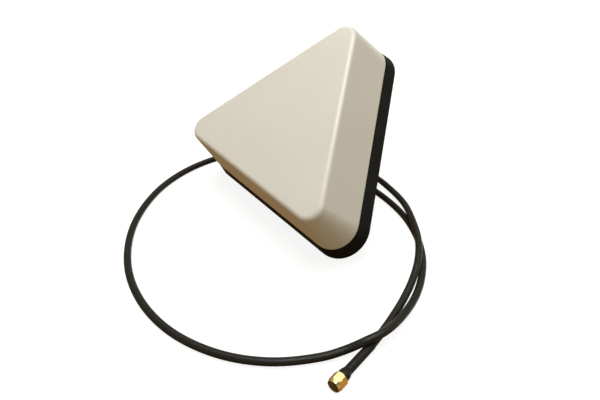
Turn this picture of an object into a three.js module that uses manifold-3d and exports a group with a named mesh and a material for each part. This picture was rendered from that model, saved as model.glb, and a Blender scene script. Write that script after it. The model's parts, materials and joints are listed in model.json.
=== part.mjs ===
// A flat triangular yagi antenna: a cream radome on a black back tray, with a printed antenna board
// inside, and a coaxial cord that leaves through a gland in the back and ends in an SMA plug.
// It stands on its bottom back edge and leans back on the stiff cord, which lies in a loop around it.
// Millimetres, +Z up. The origin is on the table, under the middle of the leaning housing.

import * as THREE from 'three';
import { mergeVertices } from 'three/addons/utils/BufferGeometryUtils.js';
import Module from 'manifold-3d';

const wasm = await Module();
wasm.setup();

// Outline of the housing: an equilateral triangle with round corners. Every smaller outline is an
// offset of this one, so a place on the housing is given by its inset from the back edge.
const SIDE = 199;
const CORNER_RADIUS = 22;
const CORNER_STEPS = 8;

// Heights are measured from the back face, towards the front.
const HOUSING_HEIGHT = 52.6;
const TRAY_HEIGHT = 12.2;
const TRAY_TAPER = 3.5;
const TRAY_FLOOR = 4;
const TRAY_WALL = 3;
const TRAY_EDGE = 1;
const COVER_TAPER = 8.1;
const COVER_WALL = 2.5;
const FRONT_FILLET = 3.8;
const FILLET_STEPS = 5;

// Clearance between pieces that touch each other.
const GAP = 0.3;

// Seal between the tray and the cover, on a ledge inside the tray's rim.
const LEDGE_HEIGHT = 7;
const LIP_WIDTH = 1.9;
const SEAL_HEIGHT = 1.7;

// Screws that hold the cover, one at each corner and one at the middle of each side.
const BOSS_RADIUS = 3.5;
const BOSS_INSET = 18;
const SCREW_RADIUS = 1.5;
const SCREW_LENGTH = 14;
const SCREW_HEAD_RADIUS = 3;
const SCREW_HEAD_HEIGHT = 1.5;

// Threaded brass inserts in the back, for a mast or wall bracket, on a square. Each has a raised pad
// around it, so that a bracket lies on the pads and clear of the gland.
const MOUNT_PITCH = 50;
const PAD_RADIUS = 6.5;
const PAD_HEIGHT = 1;
const INSERT_RADIUS = 3;
const INSERT_BORE = 2;
const INSERT_DEPTH = 6;
const INSERT_BOSS_RADIUS = 5;
const INSERT_BOSS_HEIGHT = 8;

// Antenna board, on four posts of the tray.
const BOARD_HEIGHT = 18;
const BOARD_THICKNESS = 1.6;
const BOARD_INSET = 10.5;
const BOARD_POSTS = [[-45, -22], [45, -22], [-14, 19.5], [14, 19.5]];
const POST_RADIUS = 3.5;
const BOARD_SCREW_LENGTH = 11;
const BOARD_SCREW_HEAD_RADIUS = 2.7;
const BOARD_SCREW_HEAD_HEIGHT = 1.9;

// Copper on the board, from the reflector at the wide end to the last director at the narrow one.
const COPPER_THICKNESS = 0.2;
const STRIP_WIDTH = 5;
const REFLECTOR = { y: -33.5, half: 58 };
const DRIVEN = { y: -9.5, half: 50 };
const DIRECTORS = [
  { y: 10.5, half: 38 },
  { y: 28.5, half: 29 },
  { y: 44.5, half: 20.5 },
  { y: 58.5, half: 12.5 },
];
const FEED_SPLIT = 3;
const FEED_LINE_WIDTH = 1.6;
const FEED_HOLE_RADIUS = 1;
const FEED_PIN_RADIUS = 0.6;

// Gland at the centre of the back. It stands GLAND_LENGTH out of the back face, and its hexagons are
// measured across their corners.
const GLAND_HOLE_RADIUS = 6.3;
const GLAND_BORE_RADIUS = 2.8;
const GLAND_LENGTH = 19;
const GLAND_SEAL_RADIUS = 8;
const GLAND_SEAL_THICKNESS = 1.2;
const GLAND_FLANGE_RADIUS = 9.2;
const GLAND_FLANGE_THICKNESS = 5;
const GLAND_THREAD_RADIUS = 5.4;
const GLAND_THREAD_END = 13;
const GLAND_BUSH_RADIUS = 4;
const GLAND_BUSH_LENGTH = 3.7;
const GLAND_CAP_RADIUS = 8.6;
const GLAND_CAP_BORE = 5.8;
const GLAND_LOCKNUT_RADIUS = 9.8;
const GLAND_LOCKNUT_HEIGHT = 5;

// Radius and distance from the gland's mouth of the round nose of its cap nut.
const GLAND_NOSE = [[4.4, 0], [5.2, 1], [6.8, 2.4], [7.4, 4]];

// Coaxial cord.
const CORD_DIAMETER = 4.95;
const CORD_SIDES = 10;
const CORD_STEPS = 80;

// Plug: where the heat-shrink sleeve starts, and the direction in which the plug points.
const PLUG_START = [136.7, -74.4, 3];
const PLUG_HEADING = -81.1;
const PLUG_RISE = 2.1;
const SLEEVE_LENGTH = 28.5;
const SLEEVE_RADIUS = 2.75;
const SLEEVE_FLARE_RADIUS = 3.6;
const SLEEVE_FLARE_LENGTH = 3.7;
const SLEEVE_MOUTH_RADIUS = 3.2;
const FERRULE_RADIUS = 2.9;
const FERRULE_BORE = 1.4;
const NUT_ACROSS_FLATS = 8;
const NUT_LENGTH = 7.6;
const NUT_MOUTH_RADIUS = 3.75;
const NUT_TAPER = 3.2;
const NUT_BACK_BORE = 2.6;
const NUT_SHOULDER = 1.4;
const NUT_THREAD_BORE = 3.15;
const SHELL_RECESS = 2.6;
const SHELL_RADIUS = 2.3;
const SHELL_BORE = 1.85;
const SHELL_NECK_RADIUS = 1.95;
const INSULATOR_RADIUS = 1.55;
const INSULATOR_BORE = 0.8;
const CENTRE_PIN_RADIUS = 0.46;

// How the housing stands: its lean back from lying flat, and its bottom edge's place on the table.
const LEAN = THREE.MathUtils.degToRad(41.8);
const STANDING_EDGE_Y = -43.2;

// From the middle of the triangle to its bottom edge.
const EDGE_DISTANCE = SIDE / (2 * Math.sqrt(3));

// The cord's route on the table, after it leaves the gland: first behind the housing and out to the
// right, once around the front and the left, behind the housing again, and back to the plug.
const CORD_ROUTE = [
  [0, 16.5, 18.8],
  [1.6, 23.3, 12.5],
  [6.3, 29.7, 7.8],
  [14, 34.8, 4.9],
  [25.5, 37.9, 3.2],
  [40, 38.3, 2.7],
  [58, 36, 2.6],
  [75.3, 30.7, 2.6],
  [96, 18.9, 2.6],
  [111, 4.9, 2.6],
  [122.8, -12.2, 2.7],
  [130.3, -28.8, 3.2],
  [136.1, -50.8, 6.6],
  [137.6, -65.8, 9.1],
  [135.2, -77.6, 8.6],
  [130.2, -88.7, 4.3],
  [124.2, -102.4, 2.8],
  [108.8, -126.6, 2.7],
  [86.6, -146.2, 2.6],
  [57, -159.6, 2.6],
  [24, -163, 2.6],
  [-11, -155.5, 2.6],
  [-47, -133.6, 2.6],
  [-75, -97.7, 2.6],
  [-86, -56, 2.6],
  [-79, -10, 2.6],
  [-54, 31.4, 2.6],
  [-18, 51, 2.6],
  [21, 53.7, 2.7],
  [41.1, 50.5, 3],
  [62, 41.6, 5.9],
  [80, 29, 8.4],
  [98.9, 13.4, 8.4],
  [111, -1.6, 6.9],
  [119.3, -17, 4.4],
  [125.7, -33.4, 2.8],
  [131.4, -51.9, 2.6],
  [133.9, -61.6, 2.6],
];

function material(color, roughness, metalness = 0) {
  return new THREE.MeshStandardMaterial({ color, roughness, metalness });
}

const cream = material(0xdcd4c2, 0.55);
const blackPlastic = material(0x1c1b18, 0.6);
const blackRubber = material(0x121212, 0.85);
const steel = material(0xb8bac0, 0.35, 1);
const brass = material(0xc9a14a, 0.35, 1);
const board = material(0x2f6b3f, 0.6);
const copper = material(0xc0704a, 0.35, 1);
const cordJacket = material(0x232220, 0.5);
const sleevePlastic = material(0x1a1a19, 0.6);
const gold = material(0xe0b35a, 0.22, 1);
const whitePlastic = material(0xf2f0ea, 0.5);

// Points of the housing's outline, moved in by inset, counter-clockwise from the left corner.
function outline(inset) {
  const radius = CORNER_RADIUS - inset;
  const toArcCentre = SIDE / Math.sqrt(3) - 2 * CORNER_RADIUS;
  const points = [];
  for (const cornerDegrees of [-150, -30, 90]) {
    const corner = THREE.MathUtils.degToRad(cornerDegrees);
    for (let step = 0; step <= CORNER_STEPS; step++) {
      const angle = corner + (Math.PI / 3) * ((2 * step) / CORNER_STEPS - 1);
      points.push([
        toArcCentre * Math.cos(corner) + radius * Math.cos(angle),
        toArcCentre * Math.sin(corner) + radius * Math.sin(angle),
      ]);
    }
  }
  return points;
}

// A closed body from a profile of [inset, height] points swept around the outline. The profile starts
// and ends in a flat face across the housing, or, if it is a ring, closes on itself.
function sweep(profile, ring = false) {
  const positions = profile.flatMap(([inset, height]) => outline(inset).flatMap(([x, y]) => [x, y, height]));
  const count = outline(0).length;
  const indices = [];
  const bands = ring ? profile.length : profile.length - 1;
  for (let band = 0; band < bands; band++) {
    const low = band * count;
    const high = ((band + 1) % profile.length) * count;
    for (let i = 0; i < count; i++) {
      const next = (i + 1) % count;
      indices.push(low + i, low + next, high + next, low + i, high + next, high + i);
    }
  }
  if (!ring) {
    const first = positions.length / 3;
    positions.push(0, 0, profile[0][1], 0, 0, profile.at(-1)[1]);
    const top = (profile.length - 1) * count;
    for (let i = 0; i < count; i++) {
      const next = (i + 1) % count;
      indices.push(first, next, i, first + 1, top + i, top + next);
    }
  }
  const geometry = new THREE.BufferGeometry();
  geometry.setAttribute('position', new THREE.Float32BufferAttribute(positions, 3));
  geometry.setIndex(indices);
  return geometry;
}

// Exact booleans on closed geometries.
function toSolid(geometry) {
  const bare = geometry.clone();
  bare.deleteAttribute('normal');
  bare.deleteAttribute('uv');
  const merged = mergeVertices(bare);
  return new wasm.Manifold(new wasm.Mesh({
    numProp: 3,
    vertProperties: new Float32Array(merged.attributes.position.array),
    triVerts: new Uint32Array(merged.index.array),
  }));
}

function toGeometry(solid) {
  const mesh = solid.getMesh();
  const geometry = new THREE.BufferGeometry();
  geometry.setAttribute('position', new THREE.BufferAttribute(mesh.vertProperties, 3));
  geometry.setIndex(new THREE.BufferAttribute(mesh.triVerts, 1));
  return geometry;
}

function combine(base, added, removed) {
  let solid = toSolid(base);
  for (const geometry of added) solid = solid.add(toSolid(geometry));
  for (const geometry of removed) solid = solid.subtract(toSolid(geometry));
  return toGeometry(solid);
}

// A cylinder (or, with six sides, a hexagon across whose corners the radius is measured) standing at
// x, y from one height to another.
function post(x, y, radius, low, high, sides = 12) {
  const geometry = new THREE.CylinderGeometry(radius, radius, high - low, sides);
  geometry.rotateX(Math.PI / 2);
  geometry.translate(x, y, (low + high) / 2);
  return geometry;
}

// A round body about the Z axis, from [radius, height] points.
function turned(profile, sides = 20) {
  const geometry = new THREE.LatheGeometry(profile.map(([radius, z]) => new THREE.Vector2(radius, z)), sides);
  geometry.rotateX(Math.PI / 2);
  return geometry;
}

// A tube-shaped ring about the Z axis.
function collar(inner, outer, low, high, sides = 16) {
  return turned([[inner, low], [outer, low], [outer, high], [inner, high], [inner, low]], sides);
}

// A flat strip of copper on the front of the board.
function strip(points) {
  const shape = new THREE.Shape(points.map(([x, y]) => new THREE.Vector2(x, y)));
  const geometry = new THREE.ExtrudeGeometry(shape, { depth: COPPER_THICKNESS, bevelEnabled: false });
  geometry.translate(0, 0, BOARD_HEIGHT + BOARD_THICKNESS + GAP / 2);
  return geometry;
}

function addMesh(group, name, geometry, surface, x = 0, y = 0) {
  const mesh = new THREE.Mesh(geometry, surface);
  mesh.name = name;
  mesh.position.set(x, y, 0);
  group.add(mesh);
}

// Places of the six cover screws: the three corners, then the middles of the three sides.
function screwPlaces() {
  const cornerDistance = SIDE / Math.sqrt(3) - CORNER_RADIUS - BOSS_INSET;
  const sideDistance = EDGE_DISTANCE - BOSS_INSET;
  const corners = [-150, -30, 90].map((degrees) => [degrees, cornerDistance]);
  const sides = [-90, 30, 150].map((degrees) => [degrees, sideDistance]);
  return [...corners, ...sides].map(([degrees, distance]) => {
    const angle = THREE.MathUtils.degToRad(degrees);
    return [distance * Math.cos(angle), distance * Math.sin(angle)];
  });
}

function mountPlaces() {
  const half = MOUNT_PITCH / 2;
  return [[-half, -half], [half, -half], [half, half], [-half, half]];
}

function trayGeometry() {
  const innerInset = TRAY_TAPER + TRAY_WALL;
  const ledgeInset = innerInset + 2 * GAP + LIP_WIDTH;
  const shell = sweep([
    [TRAY_EDGE, 0],
    [(TRAY_TAPER * TRAY_EDGE) / TRAY_HEIGHT, TRAY_EDGE],
    [TRAY_TAPER, TRAY_HEIGHT],
    [innerInset, TRAY_HEIGHT],
    [innerInset, LEDGE_HEIGHT],
    [ledgeInset, LEDGE_HEIGHT],
    [ledgeInset, TRAY_FLOOR],
  ]);
  const sunk = TRAY_FLOOR / 2;
  const added = [
    ...mountPlaces().map(([x, y]) => post(x, y, PAD_RADIUS, -PAD_HEIGHT, sunk, 20)),
    ...mountPlaces().map(([x, y]) => post(x, y, INSERT_BOSS_RADIUS, sunk, INSERT_BOSS_HEIGHT)),
    ...BOARD_POSTS.map(([x, y]) => post(x, y, POST_RADIUS, sunk, BOARD_HEIGHT - GAP)),
  ];
  const removed = [
    post(0, 0, GLAND_HOLE_RADIUS, -1, TRAY_FLOOR + 1, 24),
    ...mountPlaces().map(([x, y]) => post(x, y, INSERT_RADIUS + GAP, -PAD_HEIGHT - 1, INSERT_DEPTH + GAP)),
    ...BOARD_POSTS.map(([x, y]) => post(x, y, SCREW_RADIUS, TRAY_FLOOR + 2, BOARD_HEIGHT)),
    ...screwPlaces().map(([x, y]) => post(x, y, SCREW_RADIUS + GAP, -1, TRAY_FLOOR + 1)),
    ...screwPlaces().map(([x, y]) => post(x, y, SCREW_HEAD_RADIUS + GAP, -1, SCREW_HEAD_HEIGHT + 2 * GAP)),
  ];
  return combine(shell, added, removed);
}

function coverGeometry() {
  const wallHeight = HOUSING_HEIGHT - TRAY_HEIGHT;
  const draft = Math.atan(COVER_TAPER / wallHeight);
  const wallInset = (height) => TRAY_TAPER + (COVER_TAPER * (height - TRAY_HEIGHT)) / wallHeight;
  const centreHeight = HOUSING_HEIGHT - FRONT_FILLET;
  const centreInset = wallInset(centreHeight) + FRONT_FILLET / Math.cos(draft);
  const inward = COVER_WALL / Math.cos(draft);
  const outer = [];
  const inner = [];
  for (let step = 0; step <= FILLET_STEPS; step++) {
    const angle = draft + ((Math.PI / 2 - draft) * step) / FILLET_STEPS;
    const innerFillet = FRONT_FILLET - COVER_WALL;
    outer.push([centreInset - FRONT_FILLET * Math.cos(angle), centreHeight + FRONT_FILLET * Math.sin(angle)]);
    inner.push([centreInset - innerFillet * Math.cos(angle), centreHeight + innerFillet * Math.sin(angle)]);
  }
  const seam = TRAY_HEIGHT + GAP;
  const lipOuter = TRAY_TAPER + TRAY_WALL + GAP;
  const lipInner = lipOuter + LIP_WIDTH;
  const lipBottom = LEDGE_HEIGHT + SEAL_HEIGHT + 2 * GAP;
  const lipTop = seam + 4;
  const shell = sweep([
    ...inner.reverse(),
    [wallInset(lipTop) + inward, lipTop],
    [lipInner, lipTop],
    [lipInner, lipBottom],
    [lipOuter, lipBottom],
    [lipOuter, seam],
    [wallInset(seam), seam],
    ...outer,
  ]);
  const bossTop = HOUSING_HEIGHT - COVER_WALL / 2;
  const bosses = screwPlaces().map(([x, y]) => post(x, y, BOSS_RADIUS, TRAY_FLOOR + GAP, bossTop));
  const holes = screwPlaces().map(([x, y]) => post(x, y, SCREW_RADIUS + GAP, 0, SCREW_LENGTH + 2));
  return combine(shell, bosses, holes);
}

function sealGeometry() {
  const outerInset = TRAY_TAPER + TRAY_WALL + GAP;
  const innerInset = outerInset + LIP_WIDTH;
  const low = LEDGE_HEIGHT + GAP;
  const high = low + SEAL_HEIGHT;
  return sweep([[outerInset, low], [outerInset, high], [innerInset, high], [innerInset, low]], true);
}

// A pan-head screw along Z, with its head at the bottom.
function screwGeometry(headRadius, headHeight, length) {
  const edge = 0.4;
  const tip = 1.2;
  const shank = SCREW_RADIUS - GAP / 2;
  return turned([
    [0, 0],
    [headRadius - edge, 0],
    [headRadius, edge],
    [headRadius, headHeight],
    [shank, headHeight],
    [shank, length - tip],
    [0, length],
  ], 12);
}

// The same screw turned over, with its head on the front of the board.
function boardScrewGeometry() {
  const geometry = screwGeometry(BOARD_SCREW_HEAD_RADIUS, BOARD_SCREW_HEAD_HEIGHT, BOARD_SCREW_LENGTH);
  geometry.rotateX(Math.PI);
  geometry.translate(0, 0, BOARD_HEIGHT + BOARD_THICKNESS + GAP + BOARD_SCREW_HEAD_HEIGHT);
  return geometry;
}

function boardGeometry() {
  const plate = sweep([[BOARD_INSET, BOARD_HEIGHT], [BOARD_INSET, BOARD_HEIGHT + BOARD_THICKNESS]]);
  const top = BOARD_HEIGHT + BOARD_THICKNESS + 1;
  const holes = [
    post(0, 0, FEED_HOLE_RADIUS, BOARD_HEIGHT - 1, top, 12),
    ...screwPlaces().map(([x, y]) => post(x, y, BOSS_RADIUS + 1, BOARD_HEIGHT - 1, top)),
    ...BOARD_POSTS.map(([x, y]) => post(x, y, SCREW_RADIUS + GAP, BOARD_HEIGHT - 1, top)),
  ];
  return combine(plate, [], holes);
}

function barGeometry({ y, half }) {
  const low = y - STRIP_WIDTH / 2;
  const high = y + STRIP_WIDTH / 2;
  return strip([[-half, low], [half, low], [half, high], [-half, high]]);
}

// One half of the driven element, with its leg of the feed line. side is -1 on the left.
function drivenGeometry(side) {
  const low = DRIVEN.y - STRIP_WIDTH / 2;
  const high = DRIVEN.y + STRIP_WIDTH / 2;
  const feed = FEED_SPLIT / 2;
  const points = [
    [feed, low],
    [DRIVEN.half, low],
    [DRIVEN.half, high],
    [feed + FEED_LINE_WIDTH, high],
    [feed + FEED_LINE_WIDTH, 1],
    [feed, 1],
  ].map(([x, y]) => [side * x, y]);
  return strip(side < 0 ? points.reverse() : points);
}

function buildHousing() {
  const housing = new THREE.Group();
  addMesh(housing, 'back_tray', trayGeometry(), blackPlastic);
  addMesh(housing, 'radome_cover', coverGeometry(), cream);
  addMesh(housing, 'perimeter_seal', sealGeometry(), blackRubber);
  const coverScrew = screwGeometry(SCREW_HEAD_RADIUS, SCREW_HEAD_HEIGHT, SCREW_LENGTH).translate(0, 0, GAP);
  screwPlaces().forEach(([x, y], i) => addMesh(housing, `cover_screw_${i + 1}`, coverScrew, steel, x, y));
  const insert = collar(INSERT_BORE, INSERT_RADIUS, GAP - PAD_HEIGHT, INSERT_DEPTH);
  mountPlaces().forEach(([x, y], i) => addMesh(housing, `mounting_insert_${i + 1}`, insert, brass, x, y));
  return housing;
}

function buildBoard() {
  const group = new THREE.Group();
  addMesh(group, 'antenna_board', boardGeometry(), board);
  addMesh(group, 'reflector_strip', barGeometry(REFLECTOR), copper);
  addMesh(group, 'driven_strip_left', drivenGeometry(-1), copper);
  addMesh(group, 'driven_strip_right', drivenGeometry(1), copper);
  DIRECTORS.forEach((bar, i) => addMesh(group, `director_strip_${i + 1}`, barGeometry(bar), copper));
  const screw = boardScrewGeometry();
  BOARD_POSTS.forEach(([x, y], i) => addMesh(group, `board_screw_${i + 1}`, screw, steel, x, y));
  const pinTop = BOARD_HEIGHT + BOARD_THICKNESS + 1;
  addMesh(group, 'feed_pin', post(0, 0, FEED_PIN_RADIUS, BOARD_HEIGHT, pinTop, 10), copper);
  return group;
}

// Heights in the gland are negative outside the housing, as it stands out of the back.
function buildGland() {
  const sealBottom = -GAP - GLAND_SEAL_THICKNESS;
  const flangeTop = sealBottom - GAP;
  const flangeBottom = flangeTop - GLAND_FLANGE_THICKNESS;
  const stemTop = TRAY_FLOOR + GLAND_LOCKNUT_HEIGHT + 1;
  const outside = -2 * GLAND_LENGTH;
  const inside = 2 * GLAND_LENGTH;
  const body = combine(
    post(0, 0, GLAND_FLANGE_RADIUS, flangeBottom, flangeTop, 6),
    [
      post(0, 0, GLAND_HOLE_RADIUS - GAP, flangeTop - 1, stemTop, 24),
      post(0, 0, GLAND_THREAD_RADIUS, -GLAND_THREAD_END, flangeBottom + 1, 24),
    ],
    [
      post(0, 0, GLAND_BORE_RADIUS, outside, inside, 16),
      post(0, 0, GLAND_BUSH_RADIUS + GAP, outside, GLAND_BUSH_LENGTH + GAP - GLAND_THREAD_END, 20),
    ],
  );
  const capTop = flangeBottom - GAP;
  const nose = GLAND_NOSE.map(([radius, distance]) => [radius, distance - GLAND_LENGTH]);
  const [noseRadius, noseEnd] = nose.at(-1);
  const cap = combine(
    post(0, 0, GLAND_CAP_RADIUS, noseEnd, capTop, 6),
    [turned([[0, -GLAND_LENGTH], ...nose, [noseRadius, capTop], [0, capTop]])],
    [
      post(0, 0, GLAND_BORE_RADIUS, outside, 0, 16),
      post(0, 0, GLAND_CAP_BORE, -GLAND_THREAD_END - GAP - 1, 0, 24),
    ],
  );
  const locknut = combine(
    post(0, 0, GLAND_LOCKNUT_RADIUS, TRAY_FLOOR + GAP, TRAY_FLOOR + GLAND_LOCKNUT_HEIGHT, 6),
    [],
    [post(0, 0, GLAND_HOLE_RADIUS, 0, inside, 24)],
  );
  const sealRing = collar(GLAND_HOLE_RADIUS, GLAND_SEAL_RADIUS, sealBottom, -GAP);
  const bushTop = GLAND_BUSH_LENGTH - GLAND_THREAD_END;
  const bush = collar(GLAND_BORE_RADIUS, GLAND_BUSH_RADIUS, -GLAND_THREAD_END, bushTop);
  const gland = new THREE.Group();
  addMesh(gland, 'gland_body', body, blackPlastic);
  addMesh(gland, 'gland_locknut', locknut, blackPlastic);
  addMesh(gland, 'gland_seal_ring', sealRing, blackRubber);
  addMesh(gland, 'gland_bush', bush, blackRubber);
  addMesh(gland, 'gland_cap_nut', cap, blackPlastic);
  const tail = post(0, 0, CORD_DIAMETER / 2, -GLAND_LENGTH, BOARD_HEIGHT - GAP, CORD_SIDES);
  addMesh(gland, 'coax_tail', tail, cordJacket);
  return gland;
}

// Leans the housing back on its bottom edge, and returns the point where the cord leaves the gland.
function standHousing(housing) {
  housing.rotation.x = LEAN;
  housing.position.y = STANDING_EDGE_Y + EDGE_DISTANCE * Math.cos(LEAN);
  housing.position.z = (EDGE_DISTANCE - TRAY_EDGE) * Math.sin(LEAN);
  housing.updateMatrixWorld(true);
  return housing.localToWorld(new THREE.Vector3(0, 0, -GLAND_LENGTH - GAP));
}

function cordGeometry(mouth, plug) {
  const plugEnd = plug.localToWorld(new THREE.Vector3(0, 0, -GAP));
  const points = [mouth, ...CORD_ROUTE.map((point) => new THREE.Vector3(...point)), plugEnd];
  const path = new THREE.CatmullRomCurve3(points);
  const section = new THREE.Shape();
  for (let side = 0; side < CORD_SIDES; side++) {
    const angle = (2 * Math.PI * side) / CORD_SIDES;
    const x = (CORD_DIAMETER / 2) * Math.cos(angle);
    const y = (CORD_DIAMETER / 2) * Math.sin(angle);
    if (side === 0) section.moveTo(x, y);
    else section.lineTo(x, y);
  }
  return new THREE.ExtrudeGeometry(section, { steps: CORD_STEPS, extrudePath: path });
}

// A hexagonal nut, turned to a chamfer at both ends, with a small bore at the back and a thread bore.
function couplingNutGeometry(start, end) {
  const cornerRadius = NUT_ACROSS_FLATS / Math.sqrt(3);
  const turnedRadius = cornerRadius + 0.1;
  const hexagon = post(0, 0, cornerRadius, start, end, 6);
  const chamfers = turned([
    [0, start],
    [NUT_ACROSS_FLATS / 2, start],
    [turnedRadius, start + 0.8],
    [turnedRadius, end - NUT_TAPER],
    [NUT_MOUTH_RADIUS, end],
    [0, end],
  ], 24);
  const shoulder = start + NUT_SHOULDER;
  const cavity = turned([
    [0, start - 1],
    [NUT_BACK_BORE, start - 1],
    [NUT_BACK_BORE, shoulder],
    [NUT_THREAD_BORE, shoulder],
    [NUT_THREAD_BORE, end - 0.2],
    [NUT_MOUTH_RADIUS - 0.3, end + 0.1],
    [0, end + 0.1],
  ]);
  return toGeometry(toSolid(hexagon).intersect(toSolid(chamfers)).subtract(toSolid(cavity)));
}

// The shell inside the nut: a solid back, a groove for the retaining ring, and a hollow front.
function connectorBodyGeometry(start, end) {
  const floor = start + 3;
  const groove = [start + 1.8, start + 2.6];
  return turned([
    [INSULATOR_BORE, start],
    [SHELL_RADIUS, start],
    [SHELL_RADIUS, groove[0]],
    [SHELL_NECK_RADIUS, groove[0]],
    [SHELL_NECK_RADIUS, groove[1]],
    [SHELL_RADIUS, groove[1]],
    [SHELL_RADIUS, end],
    [SHELL_BORE, end],
    [SHELL_BORE, floor],
    [INSULATOR_BORE, floor],
    [INSULATOR_BORE, start],
  ]);
}

function sleeveGeometry(flareStart) {
  return turned([
    [0, 0],
    [SLEEVE_RADIUS - 0.2, 0],
    [SLEEVE_RADIUS, 0.4],
    [SLEEVE_RADIUS, flareStart - 1.2],
    [SLEEVE_FLARE_RADIUS, flareStart],
    [SLEEVE_FLARE_RADIUS, SLEEVE_LENGTH],
    [SLEEVE_MOUTH_RADIUS, SLEEVE_LENGTH],
    [SLEEVE_MOUTH_RADIUS, flareStart],
    [0, flareStart],
  ]);
}

// The plug's pieces stand along its own Z axis, which starts at the end of the cord.
function buildPlug() {
  const flareStart = SLEEVE_LENGTH - SLEEVE_FLARE_LENGTH;
  const nutStart = SLEEVE_LENGTH + GAP;
  const nutEnd = nutStart + NUT_LENGTH;
  const shellStart = nutStart + 0.2;
  const shellEnd = nutEnd - SHELL_RECESS;
  const ferrule = collar(FERRULE_BORE, FERRULE_RADIUS, flareStart + GAP, SLEEVE_LENGTH + 0.2);
  const ring = collar(SHELL_RADIUS - 0.05, SHELL_RADIUS + 0.5, shellStart + 1.9, shellStart + 2.5);
  const pin = turned([
    [0, shellStart],
    [CENTRE_PIN_RADIUS, shellStart],
    [CENTRE_PIN_RADIUS, shellEnd - 0.3],
    [0, shellEnd + 0.4],
  ], 12);
  const plug = new THREE.Group();
  addMesh(plug, 'heat_shrink_sleeve', sleeveGeometry(flareStart), sleevePlastic);
  addMesh(plug, 'crimp_ferrule', ferrule, gold);
  addMesh(plug, 'connector_body', connectorBodyGeometry(shellStart, shellEnd), gold);
  addMesh(plug, 'nut_retaining_ring', ring, brass);
  const insulator = collar(INSULATOR_BORE, INSULATOR_RADIUS, shellStart + 3.3, shellEnd - 0.7);
  addMesh(plug, 'connector_insulator', insulator, whitePlastic);
  addMesh(plug, 'centre_pin', pin, gold);
  addMesh(plug, 'coupling_nut', couplingNutGeometry(nutStart, nutEnd), gold);
  plug.rotation.order = 'ZYX';
  plug.rotation.z = THREE.MathUtils.degToRad(PLUG_HEADING);
  plug.rotation.y = THREE.MathUtils.degToRad(90 - PLUG_RISE);
  plug.position.set(...PLUG_START);
  plug.updateMatrixWorld(true);
  return plug;
}

const group = new THREE.Group();
const housing = buildHousing();
housing.add(buildBoard(), buildGland());
const mouth = standHousing(housing);
const plug = buildPlug();
group.add(housing, plug);
addMesh(group, 'coax_cord', cordGeometry(mouth, plug), cordJacket);

export default group;
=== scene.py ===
"""Looks of the flat triangular antenna: smooth housing, gland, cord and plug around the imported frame.

Shapes are written in millimetres. The housing's own frame has its origin in the middle of the back face,
Y up to the top corner and Z out of the cream front. The plug's own Z axis starts where the cord ends.
"""

import json
import math

import bmesh
import bpy
from mathutils import Matrix, Vector


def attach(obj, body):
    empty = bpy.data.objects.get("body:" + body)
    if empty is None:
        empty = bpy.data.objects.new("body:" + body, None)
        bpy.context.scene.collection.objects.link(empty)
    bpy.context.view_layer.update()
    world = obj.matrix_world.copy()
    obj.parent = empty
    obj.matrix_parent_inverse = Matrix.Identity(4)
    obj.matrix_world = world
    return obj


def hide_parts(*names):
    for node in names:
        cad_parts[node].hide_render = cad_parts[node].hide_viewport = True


MM = 0.001

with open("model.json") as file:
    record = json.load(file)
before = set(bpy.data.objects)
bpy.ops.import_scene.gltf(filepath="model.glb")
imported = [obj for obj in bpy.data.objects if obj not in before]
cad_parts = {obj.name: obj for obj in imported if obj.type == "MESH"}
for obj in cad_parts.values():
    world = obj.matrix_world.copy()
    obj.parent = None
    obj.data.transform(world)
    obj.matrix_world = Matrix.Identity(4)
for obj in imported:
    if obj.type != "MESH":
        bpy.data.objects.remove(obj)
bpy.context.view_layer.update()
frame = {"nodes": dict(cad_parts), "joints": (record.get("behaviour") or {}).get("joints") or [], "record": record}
scene = bpy.context.scene

# Housing, as in the CAD: insets are from the back edge's outline, heights from the back face.
SIDE = 199
CORNER_RADIUS = 22
CORNER_STEPS = 24
HOUSING_HEIGHT = 52.6
TRAY_HEIGHT = 12.2
TRAY_TAPER = 3.5
TRAY_FLOOR = 4
TRAY_WALL = 3
TRAY_EDGE = 1
COVER_TAPER = 8.1
COVER_WALL = 2.5
FRONT_FILLET = 3.8
GAP = 0.3
LEDGE_HEIGHT = 7
LIP_WIDTH = 1.9
SEAL_HEIGHT = 1.7
BOSS_RADIUS = 3.5
BOSS_INSET = 18
SCREW_RADIUS = 1.5
SCREW_LENGTH = 14
SCREW_HEAD_RADIUS = 3
SCREW_HEAD_HEIGHT = 1.5
MOUNT_PITCH = 50
PAD_RADIUS = 6.5
PAD_HEIGHT = 1
INSERT_RADIUS = 3
INSERT_BORE = 2
INSERT_DEPTH = 6
INSERT_BOSS_RADIUS = 5
INSERT_BOSS_HEIGHT = 8
BOARD_HEIGHT = 18
BOARD_THICKNESS = 1.6
BOARD_POSTS = [(-45, -22), (45, -22), (-14, 19.5), (14, 19.5)]
BOARD_POST_RADIUS = 3.5
BOARD_SCREW_HEAD_RADIUS = 2.7
BOARD_SCREW_HEAD_HEIGHT = 1.9
BOARD_SCREW_LENGTH = 11
SCREW_PITCH = 1.1
INSERT_PITCH = 0.7

# Where the record's bracket_pad mount lies: on the upper pad on the +X side.
MOUNT_PLACE = (29.9, 25, -PAD_HEIGHT)

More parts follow.
